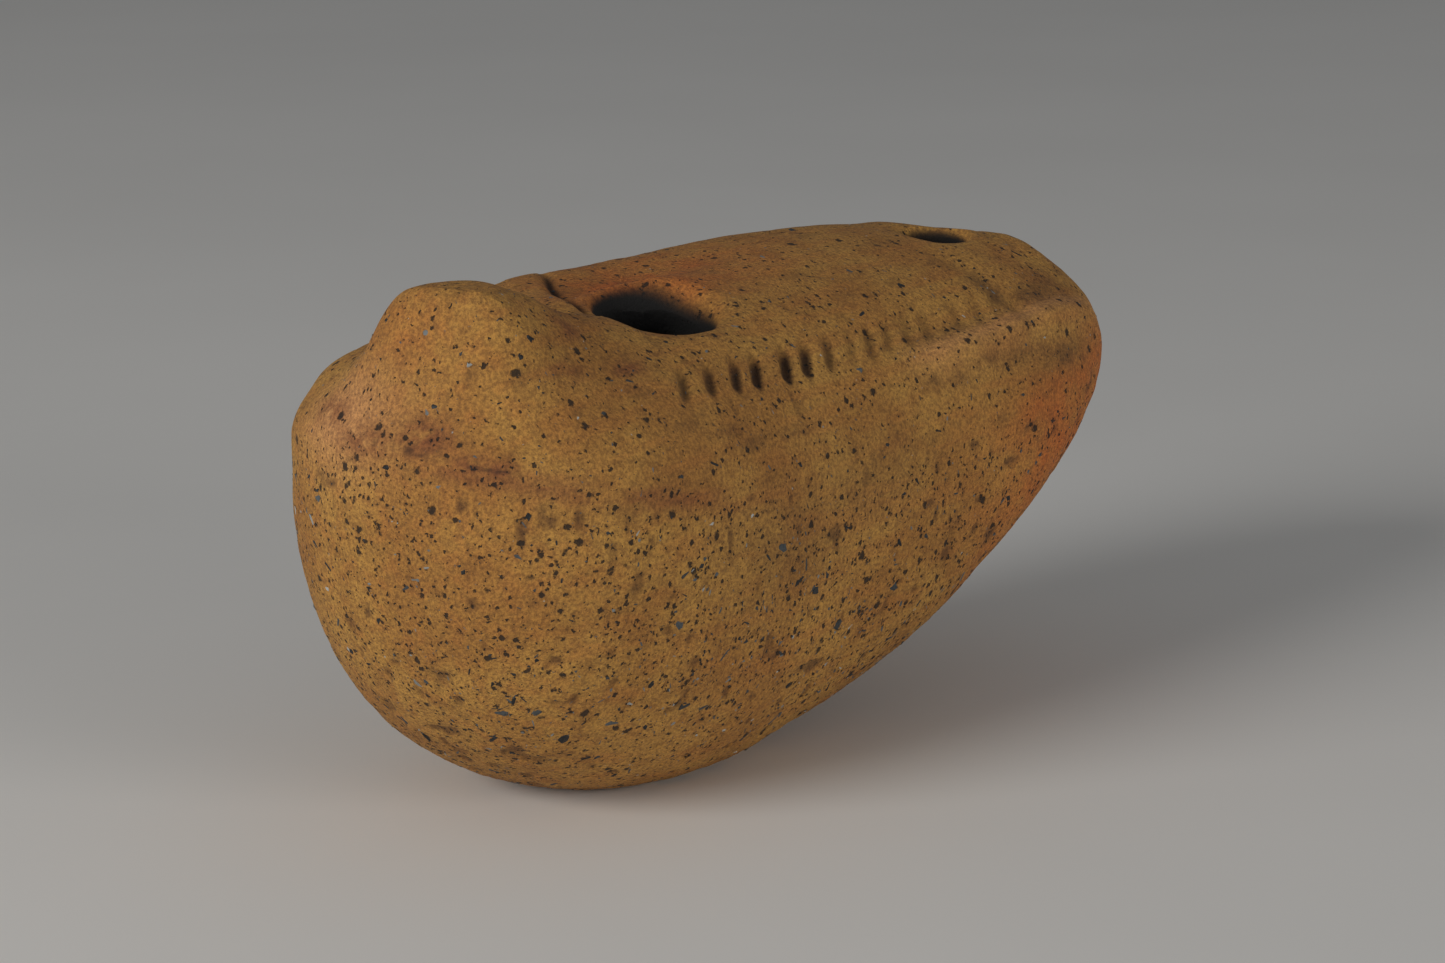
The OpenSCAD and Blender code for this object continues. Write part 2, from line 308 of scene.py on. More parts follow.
def ridge_relief(x, y):
    """A low ridge runs from the spire to the near side of the blow hole."""
    along, far = beside(x, y, RIDGE_START, RIDGE_END)
    height = RIDGE_HEIGHT * smooth((along + 0.05) / 0.32) * smooth((1.05 - along) / 0.6)
    return height * bump(far, np.where(far > 0, 2.6, 5.5))


def swell_relief(x, y):
    """The low swellings, which fade out near the rim."""
    inland = smooth((0.97 - np.hypot(*plan_to_share(x, y))) / 0.08)
    total = np.zeros_like(x)
    for height, middle, size in SWELLINGS:
        total = total + height * bell(x, y, middle, size)
    return total * inland


def rib_line(x):
    return -17.6 + 0.004 * (x - 16) ** 2


def rib_relief(x, y):
    ends = smooth((x - RIB_SPAN[0]) / 8) * smooth((RIB_SPAN[1] + 2 - x) / 5)
    return RIB_HEIGHT * ends * bump(y - rib_line(x), 0.85)


def dash_mask(x, y):
    """About 1 in the middle of each short groove, more where it is pressed harder."""
    total = np.zeros_like(x)
    for i, (shift, press) in enumerate(zip(DASH_SHIFTS, DASH_PRESSES)):
        here = DASH_START + DASH_STEP * i + shift
        along = (x - here) * math.sin(DASH_SLANT) + (y - DASH_LINE) * math.cos(DASH_SLANT)
        sideways = (x - here) * math.cos(DASH_SLANT) - (y - DASH_LINE) * math.sin(DASH_SLANT)
        away = np.abs(sideways / DASH_HALF_WIDTH) ** 3 + np.abs(along / DASH_HALF_LENGTH) ** 4
        total += press * np.exp(-away)
    return total


def upper_relief(points):
    """All the features of the upper face together, with a slanting groove near the narrow end."""
    x, y = points[..., 0], points[..., 1]
    total = lip_relief(x, y) + ridge_relief(x, y) + rib_relief(x, y) + swell_relief(x, y)
    groove = bump(x - 23.4 + 0.25 * (y + 14), 1.4) * smooth((y + 18.5) / 2) * smooth((-8 - y) / 3)
    return total - DASH_DEPTH * dash_mask(x, y) - GROOVE_DEPTH * groove


def roll_radius(dx, dy):
    """The radius of the blow hole's edge, by the direction from its middle."""
    turn = np.arctan2(dy, dx)
    return 0.35 + 1.5 * ((1 + np.sin(turn + 0.4)) / 2) ** 1.5 + 0.8 * np.maximum(0.0, np.cos(turn))


def rounding(x, y):
    """How far the clay rolls down into the blow hole, crisp on the near side and wide on the far side."""
    dx = x - MOUTH["x"]
    dy = (y - MOUTH["y"]) / math.cos(MOUTH["lean"])
    away = np.hypot(dx, dy) - MOUTH["r"]
    radius = roll_radius(dx, dy)
    inside = np.clip(radius - away, 0.0, radius)
    return radius - np.sqrt(np.maximum(0.0, radius**2 - inside**2))


# ---- Meshes ----
def grid_normals(grid, wrap_rings=False):
    """Unit normals of a grid of rings. Each ring closes on itself."""
    around = np.roll(grid, -1, 1) - np.roll(grid, 1, 1)
    if wrap_rings:
        along = np.roll(grid, -1, 0) - np.roll(grid, 1, 0)
    else:
        along = np.gradient(grid, axis=0)
    normals = np.cross(along, around)
    return normals / np.maximum(np.linalg.norm(normals, axis=-1, keepdims=True), 1e-12)


def toward(normals, reference):
    """The same normals, turned so that they point the way of the reference."""
    sign = np.sign(np.sum(normals * reference, -1, keepdims=True))
    return normals * np.where(sign == 0, 1, sign)


def rim_blend(normals, p, q):
    """Near the joint both halves move straight outwards, so that their edges stay together."""
    flat = np.stack([p / (BODY_LENGTH / 2), q / half_width(p), np.zeros_like(p)], -1)
    flat = flat / np.maximum(np.linalg.norm(flat, axis=-1, keepdims=True), 1e-12)
    weight = smooth((np.hypot(p, q) - 0.965) / 0.035)[..., None]
    blended = normals * (1 - weight) + flat * weight
    return blended / np.linalg.norm(blended, axis=-1, keepdims=True)


def skin(name, rings, first=None, last=None):
    """A closed mesh from rings of equal length, in millimetres.

    Without end points the last ring joins the first.
    """
    m, n = rings.shape[:2]
    index = np.arange(m * n).reshape(m, n)
    start = index if first is None else index[:-1]
    ahead = np.roll(index, -1, 0) if first is None else index[1:]
    quads = np.stack([start, np.roll(start, -1, 1), np.roll(ahead, -1, 1), ahead], -1).reshape(-1, 4)
    points = rings.reshape(-1, 3)
    fans = []
    if first is not None:
        points = np.concatenate([points, [first, last]])
        fans = [[m * n, b, a] for a, b in zip(index[0], np.roll(index[0], -1))]
        fans += [[m * n + 1, a, b] for a, b in zip(index[-1], np.roll(index[-1], -1))]
    caps = np.reshape(fans, (-1, 3)).astype(int)
    triangles = np.concatenate([quads[:, [0, 1, 2]], quads[:, [0, 2, 3]], caps])
    a, b, c = (points - points.mean(0))[triangles.T]
    volume = np.sum(a * np.cross(b, c))
    faces = quads.tolist() + fans
    if volume < 0:
        faces = [face[::-1] for face in faces]
    return add_mesh(name, points, faces)


def add_mesh(name, points, faces):
    mesh = bpy.data.meshes.new(name)
    mesh.from_pydata((np.asarray(points) * MM).tolist(), [], faces)
    mesh.validate()
    mesh.polygons.foreach_set("use_smooth", [True] * len(mesh.polygons))
    mesh.set_sharp_from_angle(angle=SHARP_ANGLE)
    piece = bpy.data.objects.new(name, mesh)
    bpy.context.scene.collection.objects.link(piece)
    return piece


def mesh_points(piece):
    flat = np.empty(len(piece.data.vertices) * 3)
    piece.data.vertices.foreach_get("co", flat)
    return flat.reshape(-1, 3) / MM


def give(piece, name, values):
    """Stores one number per vertex, which the materials read by its name."""
    attribute = piece.data.attributes.new(name, "FLOAT", "POINT")
    attribute.data.foreach_set("value", np.asarray(values, np.float32))


def shell_rays():
    """For each ray from the blow hole: its hole-edge and rim places in the unit disk, outside and inside."""
    u = np.linspace(0, 2 * np.pi, SEGMENTS, endpoint=False)
    a = u - 0.3 * np.cos(u)
    cx, cy, lean = MOUTH["x"], MOUTH["y"], MOUTH["lean"]
    wobble = 1 + 0.012 * np.sin(2 * a + 0.7) + 0.008 * np.sin(5 * a)
    x = cx + MOUTH["r"] * wobble * np.cos(a)
    y = cy + MOUTH["r"] * wobble * np.sin(a) * math.cos(lean)
    outer = np.stack(plan_to_share(x, y), -1)
    inner = np.stack(plan_to_share(x, y + WALL * math.sin(lean)), -1)
    middle = np.stack(plan_to_share(np.float64(cx), np.float64(cy)), -1)
    way = outer - middle
    way = way / np.linalg.norm(way, axis=-1, keepdims=True)
    lead = way @ middle
    rim = middle + way * (np.sqrt(lead**2 + 1 - middle @ middle) - lead)[:, None]
    return outer, inner, rim


def make_shell(rays):
    """The upper half: its outer face, its inner face and the wall of the blow hole in one closed skin."""
    outer_edge, inner_edge, rim = rays
    tau = np.linspace(0, 1, SHELL_RINGS)
    share = ((1 - np.cos(np.pi * tau)) / 2)[:, None, None]
    disk = outer_edge + (rim - outer_edge) * share
    disk[-1] = rim
    p, q = disk[..., 0], disk[..., 1]
    outer = upper_points(p, q)
    normals = rim_blend(toward(grid_normals(outer), np.array([0, 0, 1.0])), p, q)
    height = clay_relief(outer, 0.25) + upper_relief(outer) + seam_relief(outer, p, q)
    near_hole = bump(np.hypot(outer[..., 0] - MOUTH["x"], outer[..., 1] - MOUTH["y"]) - MOUTH["r"], 1.0)
    roll = rounding(outer[..., 0], outer[..., 1])
    height *= 1 - 0.5 * near_hole * (outer[..., 1] < MOUTH["y"])
    outer = outer + normals * height[..., None]
    outer[..., 2] -= roll
    tau = np.linspace(1, 0, INNER_RINGS)
    share = ((1 - np.cos(np.pi * tau)) / 2)[:, None, None]
    disk = inner_edge + (rim - inner_edge) * share
    inner = upper_points(disk[..., 0], disk[..., 1], WALL)
    tau = (np.arange(1, TUBE_RINGS + 1) / (TUBE_RINGS + 1))[:, None, None]
    tube = inner[-1] + (outer[0] - inner[-1]) * tau
    piece = skin("upper_shell_clay", np.concatenate([outer, inner, tube]))
    cut_finger_hole(piece)
    return piece


def make_bowl(rays):
    """The lower half, on the same rim as the upper one, with its foot pressed flat."""
    rim = rays[2]
    steps = np.sin(np.pi / 2 * np.linspace(0, 1, BOWL_RINGS + 1)[1:]) ** 0.98
    disk = rim * steps[:, None, None]
    p, q = disk[..., 0], disk[..., 1]
    outer = lower_points(p, q)
    normals = rim_blend(toward(grid_normals(outer), outer - np.array([0, -2, JOINT_HEIGHT])), p, q)
    height = clay_relief(outer, 1.0) * smooth((1 - np.hypot(p, q)) / 0.02)
    height += clay_relief(outer, 0.25) * (1 - smooth((1 - np.hypot(p, q)) / 0.02))
    height += seam_relief(outer, p, q)
    outer = outer + normals * height[..., None]
    outer[..., 2] = press_foot(outer[..., 2], outer)
    steps = np.sin(np.pi / 2 * np.linspace(1, 0, INNER_RINGS + 1)[:-1])
    disk = rim * steps[:, None, None]
    inner = lower_points(disk[..., 0], disk[..., 1], WALL)
    zero = np.float64(0)
    bottom = lower_points(zero, zero)
    bottom[2] = 0
    return skin("lower_bowl_clay", np.concatenate([outer, inner]), bottom, lower_points(zero, zero, WALL))


def press_foot(z, points):
    """The foot is pressed flat on the table, with a soft edge."""
    edge = 0.5
    level = 0.02 + 0.02 * noise(points, 1.5, 8)
    soft = level + edge * np.log1p(np.exp((z - level) / edge * 4)) / 4
    return np.maximum(0.0, np.where(z > 3, z, soft))


def seam_relief(points, p, q):
    """The joint reads as a shallow crease, clearest at the broad end."""
    edge = 1 - np.hypot(p, q)
    x = points[..., 0]
    depth = (0.10 + 0.14 * noise(points, 3, 9)) * smooth((-14 - x) / 14)
    return -np.maximum(0.0, depth) * bump(edge, 0.002)


def cut_finger_hole(piece):
    """A leaning cutter with a flared top opens the finger hole with a rounded edge."""
    r, flare = FINGER["r"], 0.9
    profile = [(r, -7.0), (r, -3.5), (r, -flare)]
    profile += [(r + flare * (1 - math.cos(t)), -flare + flare * math.sin(t))
                for t in np.radians([15, 30, 45, 58])]
    widest, level = profile[-1]
    profile += [(widest + 1.2, level + 1.6), (widest + 1.2, 5.0)]
    turn = np.linspace(0, 2 * np.pi, 72, endpoint=False)
    rings = np.array([np.stack([radius * np.cos(turn), radius * np.sin(turn), np.full_like(turn, height)], -1)
                      for radius, height in profile])
    lean = FINGER["lean"]
    turned = rings.copy()
    turned[..., 1] = rings[..., 1] * math.cos(lean) - rings[..., 2] * math.sin(lean)
    turned[..., 2] = rings[..., 1] * math.sin(lean) + rings[..., 2] * math.cos(lean)
    place = np.array([FINGER["x"], FINGER["y"], hole_level(FINGER)])
    turned = turned + place
    cutter = skin("finger_cutter", turned, turned[0].mean(0), turned[-1].mean(0))
    modifier = piece.modifiers.new("finger", "BOOLEAN")
    modifier.object = cutter
    modifier.operation = "DIFFERENCE"
    modifier.solver = "MANIFOLD"
    apply_modifiers(piece)
    bpy.data.objects.remove(cutter)


def apply_modifiers(piece):
    graph = bpy.context.evaluated_depsgraph_get()
    result = bpy.data.meshes.new_from_object(piece.evaluated_get(graph))
    piece.modifiers.clear()
    piece.data = result


def patch(p, q, offset):
    """Clay luted to the upper shell: it follows the finished surface, and its edge dips below it."""
    top = upper_points(p, q)
    normals = rim_blend(toward(grid_normals(top), np.array([0, 0, 1.0])), p, q)
    height = clay_relief(top, 0.25) + upper_relief(top)
    outer = top + normals * (height + offset)[..., None]
    under = (top + normals * (height - APPLIED_DEPTH)[..., None])[::-1][1:]
    return outer, under


def edge_offset(share):
    return mix(SEAT, SUNK, smooth((share - 0.9) / 0.1))


def make_spire():
    """The lump of clay of the spire, from its top out to its foot or to the rim."""
    turn = np.linspace(0, 2 * np.pi, 300, endpoint=False)
    p0, q0 = plan_to_share(np.float64(SPIRE_CENTRE[0]), np.float64(SPIRE_CENTRE[1]))
    along = p0 * np.cos(turn) + q0 * np.sin(turn)
    edge_run = np.sqrt(along**2 + RIM_EDGE**2 - p0**2 - q0**2) - along
    length = BODY_LENGTH / 2 * np.cos(turn) / np.where(np.cos(turn) > 0, SPIRE_STRETCH, 1)
    foot_run = SPIRE_FOOT * SPIRE_R / np.hypot(length, half_width(p0) * np.sin(turn))
    run = np.minimum(edge_run, foot_run)
    share = np.linspace(0, 1, 71)[1:, None]
    p = p0 + share * run * np.cos(turn)
    q = q0 + share * run * np.sin(turn)
    outer, under = patch(p, q, edge_offset(share) * np.ones_like(p))
    return skin("spire_knob_clay", np.concatenate([outer, under]), outer[0].mean(0), under[-1].mean(0))


def strip(name, route, half, steps=17, ends=0.08):
    """A long patch along a route over the upper shell, half a width to each side."""
    line = np.asarray(route)
    n = len(line)
    along = np.gradient(line, axis=0)
    along /= np.linalg.norm(along, axis=-1, keepdims=True)
    side = np.stack([-along[:, 1], along[:, 0]], -1)
    w = np.linspace(-1, 1, steps)
    place = line[:, None, :] + side[:, None, :] * (w * half)[None, :, None]
    p, q = plan_to_share(place[..., 0], place[..., 1])
    top = upper_points(p, q)
    along3 = np.gradient(top, axis=0)
    side3 = np.gradient(top, axis=1)
    normals = toward(np.cross(along3, side3), np.array([0, 0, 1.0]))
    normals /= np.linalg.norm(normals, axis=-1, keepdims=True)
    height = clay_relief(top, 0.25) + upper_relief(top)
    t = np.linspace(0, 1, n)[:, None]
    edge = np.maximum(np.abs(w)[None, :], 1 - smooth(np.minimum(t, 1 - t) / ends) * 0.2)
    offset = mix(SEAT, SUNK, smooth((edge - 0.82) / 0.18))
    upper = top + normals * (height + offset)[..., None]
    lower = (top + normals * (height - APPLIED_DEPTH)[..., None])[:, ::-1]
    rings = np.concatenate([upper, lower], 1)
    return skin(name, rings, rings[0].mean(0), rings[-1].mean(0))


def make_lip():
    """The lip's clay, alongside the crease at its foot."""
    share = np.linspace(-0.1, 1.12, 240)[:, None]
    start, end = np.array(CREASE_END), np.array(CREASE_START)
    way = end - start
    left = np.array([-way[1], way[0]]) / np.linalg.norm(way)
    bow = CREASE_BOW * np.sin(np.pi * np.clip(share, 0, 1))
    return strip("aperture_lip_clay", start + way * share + left * (LIP_OFFSET + bow), 1.8)


def make_rib():
    x = np.linspace(RIB_SPAN[0], RIB_SPAN[1] - 4, 200)
    return strip("side_rib_clay", np.stack([x, rib_line(x)], -1), 1.1, 21)


def make_cap():
    """The pad over the narrow end, thick at the end itself and with a soft step where it stops."""
    turn = np.linspace(0, 2 * np.pi, 360, endpoint=False)
    share = np.linspace(0, 1, 81)[1:, None]
    lean = math.acos(CAP_START) * share
    p = np.cos(lean) * np.ones_like(turn)
    r = np.sin(lean)
    power = np.where(np.sin(turn) >= 0, 2.0, BOWL_POWER)
    c = np.sign(np.cos(turn)) * np.abs(np.cos(turn)) ** (2 / power)
    s = np.sign(np.sin(turn)) * np.abs(np.sin(turn)) ** (2 / power)
    swell = CAP_THICKNESS * smooth(2 * (1 - share)) * np.ones_like(turn)
    swell += 0.25 * smooth((0.97 - share) / 0.12) * smooth((np.sin(turn) - 0.2) / 0.5)
    swell = np.minimum(swell, CAP_THICKNESS) + mix(0.02, SUNK, smooth((share - 0.93) / 0.07))

    def at(extra):
        height = np.where(np.sin(turn) >= 0, rise(p), drop(p)) + extra
        return np.stack([body_x(p) + extra * p, mid_y(p) + (half_width(p) + extra) * r * c,
                         JOINT_HEIGHT + joint_z(p) + height * r * s], -1)

    outer = at(swell)
    normals = toward(grid_normals(outer), outer - np.array([20, -2, JOINT_HEIGHT + 2]))
    relief = rib_relief(outer[..., 0], outer[..., 1]) + swell_relief(outer[..., 0], outer[..., 1])
    height = clay_relief(outer, 0.4) + relief * smooth(s * 4)
    outer = outer + normals * height[..., None]
    under = at(np.full_like(swell, -APPLIED_DEPTH))[::-1][1:]
    return skin("tip_cap_clay", np.concatenate([outer, under]), outer[0].mean(0), under[-1].mean(0))


# ---- Grit: small angular stones pressed into the clay ----
def icosahedron():
    g = (1 + 5**0.5) / 2
    corners = [(-1, g, 0), (1, g, 0), (-1, -g, 0), (1, -g, 0), (0, -1, g), (0, 1, g),
               (0, -1, -g), (0, 1, -g), (g, 0, -1), (g, 0, 1), (-g, 0, -1), (-g, 0, 1)]
    faces = [(0, 11, 5), (0, 5, 1), (0, 1, 7), (0, 7, 10), (0, 10, 11), (1, 5, 9), (5, 11, 4),
             (11, 10, 2), (10, 7, 6), (7, 1, 8), (3, 9, 4), (3, 4, 2), (3, 2, 6), (3, 6, 8),
             (3, 8, 9), (4, 9, 5), (2, 4, 11), (6, 2, 10), (8, 6, 7), (9, 8, 1)]
    corners = np.array(corners, float)
    return corners / np.linalg.norm(corners[0]), np.array(faces)


def surface_samples(piece, count, rng, density):
    """Random points on a piece's outer faces, with their normals, more of them where density is high."""
    mesh = piece.data
    mesh.calc_loop_triangles()
    corners = np.empty(len(mesh.loop_triangles) * 3, np.int32)
    mesh.loop_triangles.foreach_get("vertices", corners)
    points = mesh_points(piece)[corners.reshape(-1, 3)]
    cross = np.cross(points[:, 1] - points[:, 0], points[:, 2] - points[:, 0])
    area = np.linalg.norm(cross, axis=-1)
    middle = points.mean(1)
    normal = cross / np.maximum(area, 1e-12)[:, None]
    weight = area * density(middle, normal)
    chosen = rng.choice(len(weight), count, p=weight / weight.sum())
    a, b = rng.random((2, count, 1))
    flip = a + b > 1
    a, b = np.where(flip, 1 - a, a), np.where(flip, 1 - b, b)
    corner = points[chosen]
    place = corner[:, 0] + a * (corner[:, 1] - corner[:, 0]) + b * (corner[:, 2] - corner[:, 0])
    return place, normal[chosen]


def is_outer(points, normals):
    """1 where a face looks away from the middle of the body."""
    out = points - np.array([0, 0, 1]) * (JOINT_HEIGHT + 3)
    out = out - np.array([0, 1, 0]) * mid_y(share_at(points[:, :1]))
    return (np.sum(out / np.array([42.0, 22.0, 22.0]) ** 2 * normals, -1) > 0.0).astype(float)


def make_grit(name, samples, sizes, rng, stand):
    """One mesh of angular stones. Each is a lopsided icosahedron that stands a little out of the clay."""
    places, normals = samples
    corners, faces = icosahedron()
    count = len(places)
    helper = np.where(np.abs(normals[:, 2:]) < 0.9, [[0, 0, 1.0]], [[1.0, 0, 0]])
    first = np.cross(normals, helper)
    first /= np.linalg.norm(first, axis=-1, keepdims=True)
    second = np.cross(normals, first)
    turn = rng.random((count, 1)) * 2 * np.pi
    u = first * np.cos(turn) + second * np.sin(turn)
    v = np.cross(normals, u)
    stretch = rng.uniform(0.75, 1.25, (count, 1))
    scale = sizes[:, None] / 2
    shape = corners[None] * rng.uniform(0.66, 1.3, (count, 12, 1))
    local = (u[:, None] * shape[..., :1] * (scale * stretch)[:, None]
             + v[:, None] * shape[..., 1:2] * (scale / stretch)[:, None]
             + normals[:, None] * shape[..., 2:] * (scale * 0.55)[:, None])
    depth = (0.55 * scale * (1 - stand))[:, None]
    points = places[:, None] - normals[:, None] * depth + local
    points[..., 2] = np.maximum(points[..., 2], 0.0)
    index = (np.arange(count)[:, None, None] * 12 + faces[None]).reshape(-1, 3)
    piece = add_mesh(name, points.reshape(-1, 3), index.tolist())
    piece.data.polygons.foreach_set("use_smooth", [False] * len(piece.data.polygons))
    give(piece, "tone", np.repeat(rng.random(count) ** 2.5, 12))
    return piece


def grit_sizes(rng, count, least, most, power):
    """Many small stones and few large ones."""
    return np.minimum(most, least * (1 - rng.random(count)) ** (-1 / power))


def off_joint(points):
    """0 at the joint, so that no stone lies across it, rising to 1 close above and below."""
    edge = points[:, 2] - (JOINT_HEIGHT + joint_z(share_at(points[:, 0])))
    return smooth((np.abs(edge) - 0.5) / 0.4)


def bowl_density(points, normals):
    patches = 0.45 + 1.3 * smooth(0.5 + 0.9 * noise(points, 11, 21))
    return is_outer(points, normals) * patches * smooth((points[:, 2] - 0.3) / 1.5) * off_joint(points)


def shell_density(points, normals):
    side = 0.35 + 0.65 * smooth((-6 - points[:, 1]) / 8)
    away = smooth((np.hypot(points[:, 0] - MOUTH["x"], points[:, 1] - MOUTH["y"]) - MOUTH["r"] - 0.8) / 1)
    outer = points[:, 2] > plain_top(points[:, 0], points[:, 1]) - 2.6
    return is_outer(points, normals) * side * away * outer * off_joint(points)


def plain_density(points, normals):
    return is_outer(points, normals) * off_joint(points)


def place_grit(bowl, shell, spire, cap):
    """The dark stones, then the pale ones, scattered over every large piece of clay."""
    rng = np.random.default_rng(20)
    # piece, number of stones, least and largest width, how fast the wide ones thin out, where they lie
    groups = [
        (bowl, 9600, 0.34, 1.55, 2.1, bowl_density),
        (shell, 2600, 0.28, 1.3, 2.4, shell_density),
        (spire, 700, 0.28, 1.1, 2.4, plain_density),
        (cap, 320, 0.30, 1.1, 2.6, plain_density),
    ]
    for name, part, stand in (("dark_grit_stones", 0.90, 0.10), ("pale_grit_stones", 0.10, 0.14)):
        places, normals, sizes = [], [], []
        for piece, count, least, most, power, density in groups:
            number = int(count * part)
            place, normal = surface_samples(piece, number, rng, density)
            places.append(place)
            normals.append(normal)
            sizes.append(grit_sizes(rng, number, least, most * (1 if part > 0.5 else 0.7), power))
        samples = (np.concatenate(places), np.concatenate(normals))
        yield make_grit(name, samples, np.concatenate(sizes), rng, stand)


# ---- Masks that the clay material reads ----
# Each spot is a soft ellipsoid: its middle, its half sizes and its strength.
# Most middles are not round numbers chosen by hand: a separate projection script worked them out, to
# 0.1 mm, from places marked on the object's visible side. Sizes and strengths were set one by one.
WARM_SPOTS = [((-39.1, -3.1, 40.8), (3.0, 3.5, 2.2), 0.3), ((20.7, -20.1, 23.9), (7, 4, 4), 0.5),
              ((-6.1, -4.0, 39.1), (4, 3, 3), 0.8)]
SMUDGE_SPOTS = [((-41.7, -8.1, 33.6), (2.5, 2.8, 1.7), 0.9), ((-42.5, -2.3, 32.8), (2, 4, 1.3), 0.75),
                ((-40.9, -11.8, 31.9), (2, 2, 0.9), 0.8), ((-39.7, -13.7, 31.5), (1.6, 1.6, 0.8), 0.9),
                ((-37.4, -16.1, 30.3), (2, 1.5, 0.8), 0.8), ((-33.5, -18.2, 29.4), (3.5, 1.3, 0.65), 0.9),
                ((-29.5, -19.3, 28.6), (3.2, 1.2, 0.6), 0.7), ((-40.3, 2.7, 34.1), (1.8, 3.4, 1.2), 0.75),
                ((-31.2, -13.2, 37.7), (2.2, 1.3, 0.8), 0.8), ((-24.4, -13.5, 36.7), (2.2, 1.1, 0.9), 0.8),
                ((-28.2, -10.3, 39.8), (1.6, 1.2, 1.6), 0.8), ((-26.0, -7.0, 40.6), (3, 1.6, 1.4), 0.6),
                ((-21.0, -7.2, 39.6), (3, 1.5, 1.2), 0.6), ((-16.0, -10.6, 38.4), (2.6, 0.8, 0.8), 0.5)]
# Dark brown patches. Those along the side rib, from x 8 to 32 and in the slanting groove, are painted shade
# on the rib's flanks; the rest darken the front side in patches.
STAIN_AND_SHADE_SPOTS = [((14.0, -16.2, 33.6), (7, 0.8, 0.6), 0.45), ((24.0, -18.9, 30.8), (6, 1.2, 0.9), 0.6),
               ((23.0, -14.5, 35.6), (1.3, 3.6, 2), 0.8), ((27.5, -15.8, 34.8), (3.6, 1.4, 1), 0.8),
               ((31.5, -14.5, 34.8), (3.5, 1.8, 1.2), 0.45), ((8.8, -18.6, 30.6), (1.1, 0.8, 0.6), 0.7),
               ((12.4, -18.8, 30.5), (1.2, 0.8, 0.6), 0.7), ((16.9, -18.5, 31.3), (1.5, 0.8, 0.6), 0.75),
               ((21.0, -18.8, 30.9), (2.2, 1, 0.8), 0.6), ((27.5, -19.0, 29.8), (5, 1.6, 1.5), 0.7),
               ((-16.4, -19.1, 30.2), (2.8, 0.9, 0.6), 0.55), ((-18.2, -18.6, 31.5), (2.4, 0.9, 0.5), 0.5),
               ((-9.8, -18.9, 30.1), (2.6, 0.9, 0.6), 0.5), ((-22.3, -17.9, 32.6), (2.4, 0.9, 0.5), 0.45),
               ((-13, -20, 22), (9, 5, 5), 0.4), ((-2, -19, 24), (8, 5, 4), 0.35)]
CRACK_SPOTS = [((-40.7, -12.1, 31.8), (0.35, 0.5, 0.16), 1.0),
               ((-40.2, -12.9, 31.65), (0.4, 0.45, 0.14), 1.0),
               ((-39.7, -13.7, 31.5), (0.5, 0.6, 0.15), 1.0), ((-39.1, -14.5, 31.4), (0.3, 0.4, 0.12), 0.9),
               ((-42.4, -7.0, 32.7), (0.4, 0.45, 0.4), 1.0), ((-42.1, -8.0, 32.4), (0.4, 0.5, 0.14), 0.9)]


def blotches(points, spots):
    """The strength of soft ellipsoids, the strongest one where they overlap."""
    total = np.zeros(len(points))
    for middle, sizes, strength in spots:
        total = np.maximum(total, strength * np.exp(-(((points - middle) / sizes) ** 2).sum(-1)))
    return total


